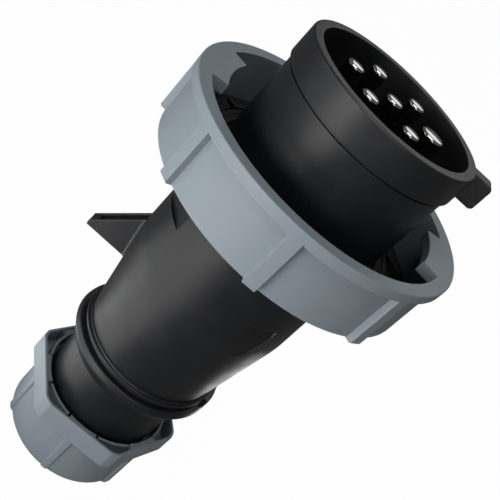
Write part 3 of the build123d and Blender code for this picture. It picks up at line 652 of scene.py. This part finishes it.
def made_fin_root(size, side):
    """Hollow fillet where a cheek meets the housing.

    The section is a quadratic curve from the housing's surface to the cheek, and its
    upper end falls with the cheek's top edge.
    """
    reach, cheek_face, low, high, rows = 1.2, 3.0, 79.6, FIN_ROOT_TOP - 0.1, 26
    share = np.linspace(0, 1, 8)[None]
    across, out = reach * (1 - share) ** 2, reach * share ** 2
    height = low + np.linspace(0, 1, rows)[:, None] * (high - out * fin_rise(size) - low)
    radius = housing_radius(size, height)
    root = -np.sqrt(radius ** 2 - (cheek_face + across) ** 2)
    curve = np.stack([root - out + 0.03, side * (cheek_face + across - 0.02) + 0 * height, height], -1)
    inner = np.stack([root[:, 0] + 0.8, np.full(rows, side * 2.4), height[:, 0]], -1)
    return np.concatenate([curve, inner[:, None]], 1)


def made_nut(size):
    """Gland nut: one closed section carried round the axis, shaped by the angle.

    The hexagon's radius at an angle is the smaller of its half width over the cosine of
    the angle from the nearest flat, and the same for the cut corners. Corner pockets sink
    the floor, spring tongues rise again inside them, and ribs lift the skirt.
    """
    flats = np.arange(6) * 60.0 + 30.0
    corners = np.arange(6) * 60.0
    tongue, slot, sharp = 14.5, 2.3, 0.12
    marks = [[mid + side * (half + sharp * step) for mid in corners for side in (-1, 1)]
             for half in (tongue, tongue + slot) for step in np.linspace(0, 1, 4)]
    rib_half, rib_soft = np.degrees(1.05 / 26.6), np.degrees(0.4 / 26.6)
    marks += [[mid + side * (rib_half + rib_soft * step) for mid in flats for side in (-1, 1)]
              for step in np.linspace(0, 1, 6)]
    marks += [[mid + side * step for mid in corners for side in (-1, 1)] for step in np.arange(2.4, 4.6, 0.3)]
    angles = columns(300, *marks)
    from_flat = np.radians(offset(angles, flats))
    from_corner = np.radians(offset(angles, corners))
    reach = 30.9 * np.cos(np.radians(3.3))

    def hexagon(inset):
        """Radius of the hexagon, moved inwards, with its edges eased by a soft minimum."""
        side = (size.nut_apothem - inset) / np.cos(from_flat)
        cut = (reach - inset) / np.cos(from_corner)
        ease = 0.18
        return -ease * np.log(np.exp(-side / ease) + np.exp(-cut / ease))

    outer, inner = hexagon(0.0), hexagon(1.1)
    pocket = plateau(np.degrees(from_corner), tongue + slot, sharp)
    tongues = plateau(np.degrees(from_corner), tongue, sharp)
    ledge, floor, tongue_top = 28.7, 22.5, 28.45
    bed = ledge + (floor - ledge) * pocket
    top = bed + (tongue_top - floor) * tongues
    rib = plateau(np.degrees(from_flat), rib_half, rib_soft)
    skirt = size.nut_skirt + rib
    one = np.ones_like(outer)
    nut_top, hex_foot = 29.5, 21.1
    tongue_out, tongue_in, bore, cable_hole, seat = 25.65, 24.7, 23.38, 12.6, 3.2

    def row(radius, height):
        """One line of the section at every angle."""
        return np.stack([radius * one, height * one], -1)

    quarter = np.linspace(0, np.pi / 2, 6)
    rim_out = [row(outer - 0.45 * (1 - np.cos(turn)), nut_top - 0.45 * (1 - np.sin(turn)))
               for turn in quarter]
    rim_in = [row(inner + 0.2 * (1 - np.sin(turn)), nut_top - 0.2 * (1 - np.cos(turn)))
              for turn in quarter]
    under = [row(outer - 0.4 * (1 - np.cos(turn)), hex_foot + 0.4 * (1 - np.sin(turn)))
             for turn in quarter[::-1]]
    bed_rows = [row(inner, bed + 0.3), row(inner - 0.3 * np.minimum(inner - tongue_out, 1), bed),
                row(tongue_out + 0.1, bed), row(tongue_out, bed), row(tongue_out, top - 0.15),
                row(tongue_out - 0.15, top), row(tongue_in + 0.15, top), row(tongue_in, top - 0.15),
                row(tongue_in, floor + 0.2), row(tongue_in - 0.2, floor), row(bore + 0.12, floor),
                row(bore, floor - 0.15), row(bore, seat + 0.4), row(bore - 0.38, seat),
                row(cable_hole + 0.2, seat), row(cable_hole, seat - 0.2), row(cable_hole, 0.5),
                row(cable_hole + 0.5, 0.0)]
    rear_round = 3.5
    turn = np.linspace(0, np.pi / 2, 14)
    round_radius = size.nut_skirt - rear_round * (1 - np.sin(turn))
    round_height = rear_round * (1 - np.cos(turn))
    rib_share = np.clip((turn - 0.7) / 0.6, 0, 1)
    round_rows = [row(radius + rib * share, height)
                  for radius, share, height in zip(round_radius, rib_share, round_height)]
    skirt_rows = [row(skirt, 3.9), row(skirt, 12.0), row(skirt, hex_foot - 0.3), row(skirt + 0.3, hex_foot)]
    section = np.stack(under + rim_out + rim_in + bed_rows + round_rows + skirt_rows, 1)
    return turned(section, angles)


def made_gasket():
    """Flange gasket: two rubber lips turned round the collar's foot."""
    inner, outer, low, high = 32.2, 36.6, FLANGE_FRONT, SEAL_TOP
    outline = rounded([(inner, low), (outer, low), (outer, high), (outer - 1.4, high),
                       (outer - 2.2, high - 0.9), (inner + 1.5, high - 0.1), (inner, high)],
                      [0.2, 0.2, 0.5, 0.5, 0.4, 0.3, 0.4])
    return turned(outline, columns(192))


# Operators

class PLUG_OT_front_housing(bpy.types.Operator):
    """Build the pin collar with its key, flange, hub and raised arcs"""
    bl_idname = "plug.front_housing"
    bl_label = "Front housing"

    def execute(self, context):
        size = in_mm(context.scene.plug_sizes)
        black = finish_of("moulded black polyamide")
        piece("collar", "plug", black, [(made_front_housing(size), True, True)],
              ["front_housing"])
        piece("collar_key", "plug", black, [(made_key(size), False, True)])
        arcs = [(made(base), False, True) for base in (0.0, 180.0) for made in (made_arc, made_click)]
        piece("flange_arcs", "plug", black, arcs)
        return {"FINISHED"}


class PLUG_OT_locking_ring(bpy.types.Operator):
    """Build the grey bayonet locking ring"""
    bl_idname = "plug.locking_ring"
    bl_label = "Locking ring"

    def execute(self, context):
        size = in_mm(context.scene.plug_sizes)
        grey = finish_of("moulded grey polyamide")
        piece("bayonet_ring", "ring", grey, [(made_ring(size), True, True)],
              ["locking_ring"])
        return {"FINISHED"}


class PLUG_OT_pins(bpy.types.Operator):
    """Build the seven plated contact pins"""
    bl_idname = "plug.pins"
    bl_label = "Contact pins"

    def execute(self, context):
        size = in_mm(context.scene.plug_sizes)
        nickel = finish_of("nickel plated brass")
        circle = np.radians(np.arange(6) * 60.0)
        places = np.stack([np.cos(circle), np.sin(circle)], -1) * size.pin_circle
        places = np.concatenate([places, [[0.0, 0.0]]])
        nodes = ["earth_pin"] + [f"phase_pin_{number}" for number in range(1, 7)]
        for node, place in zip(nodes, places):
            radius, wire = (size.earth_pin, 3.6) if node == "earth_pin" else (size.phase_pin, 2.8)
            piece(f"contact_{node}", "plug", nickel,
                  [(made_pin(radius, wire, place), True, True)], [node])
        return {"FINISHED"}


class PLUG_OT_rear_housing(bpy.types.Operator):
    """Build the tapered rear housing with its fin"""
    bl_idname = "plug.rear_housing"
    bl_label = "Rear housing"

    def execute(self, context):
        size = in_mm(context.scene.plug_sizes)
        black = finish_of("moulded black polyamide")
        piece("handle_housing", "plug", black,
              [(made_rear_housing(size), True, True), (made_ear(size), False, True)], ["rear_housing"])
        fin = made_fin(size) + [made_fin_root(size, side) for side in (-1, 1)]
        piece("handle_fin", "plug", black, [(grid, False, True) for grid in fin])
        return {"FINISHED"}


class PLUG_OT_gland_nut(bpy.types.Operator):
    """Build the grey cap nut of the cable gland"""
    bl_idname = "plug.gland_nut"
    bl_label = "Gland nut"

    def execute(self, context):
        size = in_mm(context.scene.plug_sizes)
        grey = finish_of("moulded grey polyamide")
        piece("cap_nut", "nut", grey, [(made_nut(size), True, True)], ["gland_nut"])
        return {"FINISHED"}


class PLUG_OT_inner_pieces(bpy.types.Operator):
    """Build the flange gasket and finish the CAD pieces that keep their shape"""
    bl_idname = "plug.inner_pieces"
    bl_label = "Seals, blocks and screws"

    def execute(self, context):
        rubber = finish_of("moulded nitrile rubber")
        piece("face_gasket", "plug", rubber, [(made_gasket(), True, True)], ["flange_gasket"])
        finishes = {
            "contact_carrier": "moulded black contact block",
            "terminal_block": "moulded black contact block",
            "carrier_screws": "zinc plated steel",
            "terminal_screws": "zinc plated steel",
            "housing_screws": "zinc plated steel",
            "housing_seal": "moulded nitrile rubber",
            "gland_seal": "moulded nitrile rubber",
            "clamp_cage": "moulded natural polyamide",
            "thrust_ring": "moulded natural polyamide",
        }
        for node, finish in finishes.items():
            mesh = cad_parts[node].data
            mesh.materials.clear()
            mesh.materials.append(finish_of(finish))
        return {"FINISHED"}


# Stage

CAMERA_PLACE = Vector((-36.3, -246.6, 247.0))
CAMERA_RIGHT = Vector((0.74695, 0.22851, 0.62437))
CAMERA_UP = Vector((-0.65172, 0.43755, 0.61952))
CAMERA_BACK = Vector((-0.13163, -0.86967, 0.47576))
CAMERA_LENS = 61.76
LIT_MIDDLE = Vector((0, 0, 95))
# Each lamp: name, azimuth and elevation in degrees, distance in millimetres, width and height
# in metres, power in watts.
LAMPS = [
    ("key softbox", -128, 3, 900, 0.4, 0.26, 2.2),
    ("low softbox", -165, 5, 900, 0.5, 0.3, 1.0),
    ("side softbox", -75, 12, 900, 0.4, 0.4, 0.9),
    ("top softbox", -110, 68, 900, 0.6, 0.6, 3.3),
    ("back softbox", 74, 36, 900, 0.5, 0.36, 0.6),
]
# Light panels that lie on the floor and shine up, because the black walls mirror the floor:
# name, x and y in millimetres, azimuth of the long side in degrees, length and width in
# metres, power in watts.
PANELS = [
    ("body floor panel", -180, -100, -148, 0.24, 0.22, 0.2),
    ("collar floor panel", -240, -330, -125, 0.36, 0.26, 0.75),
    ("rim floor panel", 76, 78, -49, 0.1, 0.06, 0.04),
    ("stub floor panel", -82, -35, 90, 0.12, 0.08, 0.045),
]
# Half the floor's width in metres, the share of plain white in what the camera sees of the
# floor, and the levels at which reflections see the floor and the background.
FLOOR_HALF = 6.0
WHITE_SHARE = 0.985
GLOSSY_FLOOR = 0.11
GLOSSY_WORLD = 0.1


def softbox(name, place, target, wide, tall, power):
    """Area lamp at a place in millimetres, turned to a target."""
    lamp = bpy.data.lights.new(name, "AREA")
    lamp.shape = "RECTANGLE"
    lamp.size, lamp.size_y, lamp.energy = wide, tall, power
    made = bpy.data.objects.new(name, lamp)
    made.location = Vector(place) * MM
    aim = Vector(target) * MM - made.location
    made.rotation_mode = "QUATERNION"
    made.rotation_quaternion = aim.to_track_quat("-Z", "Y")
    bpy.context.scene.collection.objects.link(made)
    return made


def seen_from_middle(azimuth, elevation, distance):
    """Place in millimetres at an azimuth and elevation in degrees from the plug's middle."""
    turn, rise = np.radians([azimuth, elevation])
    ahead = Vector((np.cos(turn) * np.cos(rise), np.sin(turn) * np.cos(rise), np.sin(rise)))
    return LIT_MIDDLE + ahead * distance


def level_by_ray(tree, glossy):
    """Light path and a level by kind of ray: 1 for the camera, the given one for reflections, else 0."""
    ray = add(tree, "ShaderNodeLightPath")
    seen = add(tree, "ShaderNodeMath", {"operation": "ADD", "use_clamp": True},
               {0: (ray, "Is Camera Ray"), 1: (ray, "Is Transmission Ray")})
    level = add(tree, "ShaderNodeMath", {"operation": "MULTIPLY_ADD", "use_clamp": True},
                {0: (ray, "Is Glossy Ray"), 1: glossy, 2: (seen, "Value")})
    return ray, seen, level


def painted_floor(colour):
    """Floor material: almost plain white to the camera with the object's soft shadow, matt paint to lamps."""
    material = bpy.data.materials.new("painted floor")
    material.use_nodes = True
    tree = material.node_tree
    tree.nodes.clear()
    ray, seen, level = level_by_ray(tree, GLOSSY_FLOOR)
    plain = add(tree, "ShaderNodeMath", {"operation": "MULTIPLY"}, {0: (seen, "Value"), 1: WHITE_SHARE})
    share = add(tree, "ShaderNodeMath", {"operation": "ADD", "use_clamp": True},
                {0: (plain, "Value"), 1: (ray, "Is Glossy Ray")})
    paint = add(tree, "ShaderNodeBsdfDiffuse", None, {"Color": colour})
    white = add(tree, "ShaderNodeEmission", None, {"Color": (1, 1, 1, 1), "Strength": (level, "Value")})
    mixed = add(tree, "ShaderNodeMixShader", None,
                {0: (share, "Value"), 1: (paint, "BSDF"), 2: (white, "Emission")})
    add(tree, "ShaderNodeOutputMaterial", None, {"Surface": (mixed, "Shader")})
    return material


def made_floor(colour):
    """Flat square floor under the plug."""
    mesh = bpy.data.meshes.new("floor")
    corners = [(-FLOOR_HALF, -FLOOR_HALF, 0), (FLOOR_HALF, -FLOOR_HALF, 0),
               (FLOOR_HALF, FLOOR_HALF, 0), (-FLOOR_HALF, FLOOR_HALF, 0)]
    mesh.from_pydata(corners, [], [(0, 1, 2, 3)])
    mesh.materials.append(painted_floor(colour))
    floor = bpy.data.objects.new("floor", mesh)
    bpy.context.scene.collection.objects.link(floor)


def white_background(scene):
    """White world for the camera, a dim one for reflections and none for soft light."""
    world = scene.world or bpy.data.worlds.new("studio")
    scene.world = world
    world.use_nodes = True
    tree = world.node_tree
    tree.nodes.clear()
    level = level_by_ray(tree, GLOSSY_WORLD)[2]
    sky = add(tree, "ShaderNodeBackground", None, {"Color": (1, 1, 1, 1), "Strength": (level, "Value")})
    add(tree, "ShaderNodeOutputWorld", None, {"Surface": (sky, "Background")})


def photo_camera(scene):
    """Camera at the place and angle that were fitted to the photo."""
    camera = bpy.data.cameras.new("photo camera")
    camera.lens = CAMERA_LENS
    camera.sensor_width = 36.0
    camera.clip_start, camera.clip_end = 0.01, 50.0
    seat = bpy.data.objects.new("photo camera", camera)
    turn = Matrix((CAMERA_RIGHT, CAMERA_UP, CAMERA_BACK)).transposed().to_4x4()
    seat.matrix_world = Matrix.Translation(CAMERA_PLACE * MM) @ turn
    scene.collection.objects.link(seat)
    scene.camera = seat


class PLUG_OT_stage(bpy.types.Operator):
    """Set up the floor, soft lamps, background and camera"""
    bl_idname = "plug.stage"
    bl_label = "Studio"

    def execute(self, context):
        scene = context.scene
        scene.view_settings.view_transform = "Standard"
        made_floor(scene.plug_colours.floor)
        white_background(scene)
        for name, azimuth, elevation, distance, wide, tall, power in LAMPS:
            softbox(name, seen_from_middle(azimuth, elevation, distance), LIT_MIDDLE, wide, tall, power)
        for name, x, y, azimuth, long, wide, power in PANELS:
            panel = softbox(name, (x, y, 1), (x, y, 100), long, wide, power)
            panel.rotation_mode = "XYZ"
            panel.rotation_euler = (np.pi, 0, np.radians(azimuth))
            panel.visible_camera = False
        photo_camera(scene)
        return {"FINISHED"}


class PLUG_PT_pieces(bpy.types.Panel):
    """List the plug's pieces, sizes and colours in the sidebar"""
    bl_idname = "PLUG_PT_pieces"
    bl_label = "Industrial plug"
    bl_space_type = "VIEW_3D"
    bl_region_type = "UI"
    bl_category = "Plug"

    def draw(self, context):
        for operator in OPERATORS:
            self.layout.operator(operator.bl_idname)
        for group in (context.scene.plug_sizes, context.scene.plug_colours):
            box = self.layout.box()
            for name in group.__annotations__:
                box.prop(group, name)


OPERATORS = [PLUG_OT_stage, PLUG_OT_front_housing, PLUG_OT_locking_ring, PLUG_OT_pins, PLUG_OT_rear_housing,
             PLUG_OT_gland_nut, PLUG_OT_inner_pieces]
CLASSES = [PlugSizes, PlugColours, *OPERATORS, PLUG_PT_pieces]


def register():
    """Register the classes and hang the properties on the scene."""
    for made in CLASSES:
        bpy.utils.register_class(made)
    bpy.types.Scene.plug_sizes = PointerProperty(type=PlugSizes)
    bpy.types.Scene.plug_colours = PointerProperty(type=PlugColours)


def unregister():
    """Take the properties and classes away again."""
    del bpy.types.Scene.plug_colours
    del bpy.types.Scene.plug_sizes
    for made in reversed(CLASSES):
        bpy.utils.unregister_class(made)


def main():
    """Build everything in order."""
    register()
    bpy.ops.plug.stage()
    bpy.ops.plug.front_housing()
    bpy.ops.plug.locking_ring()
    bpy.ops.plug.pins()
    bpy.ops.plug.rear_housing()
    bpy.ops.plug.gland_nut()
    bpy.ops.plug.inner_pieces()


if __name__ == "__main__":
    main()
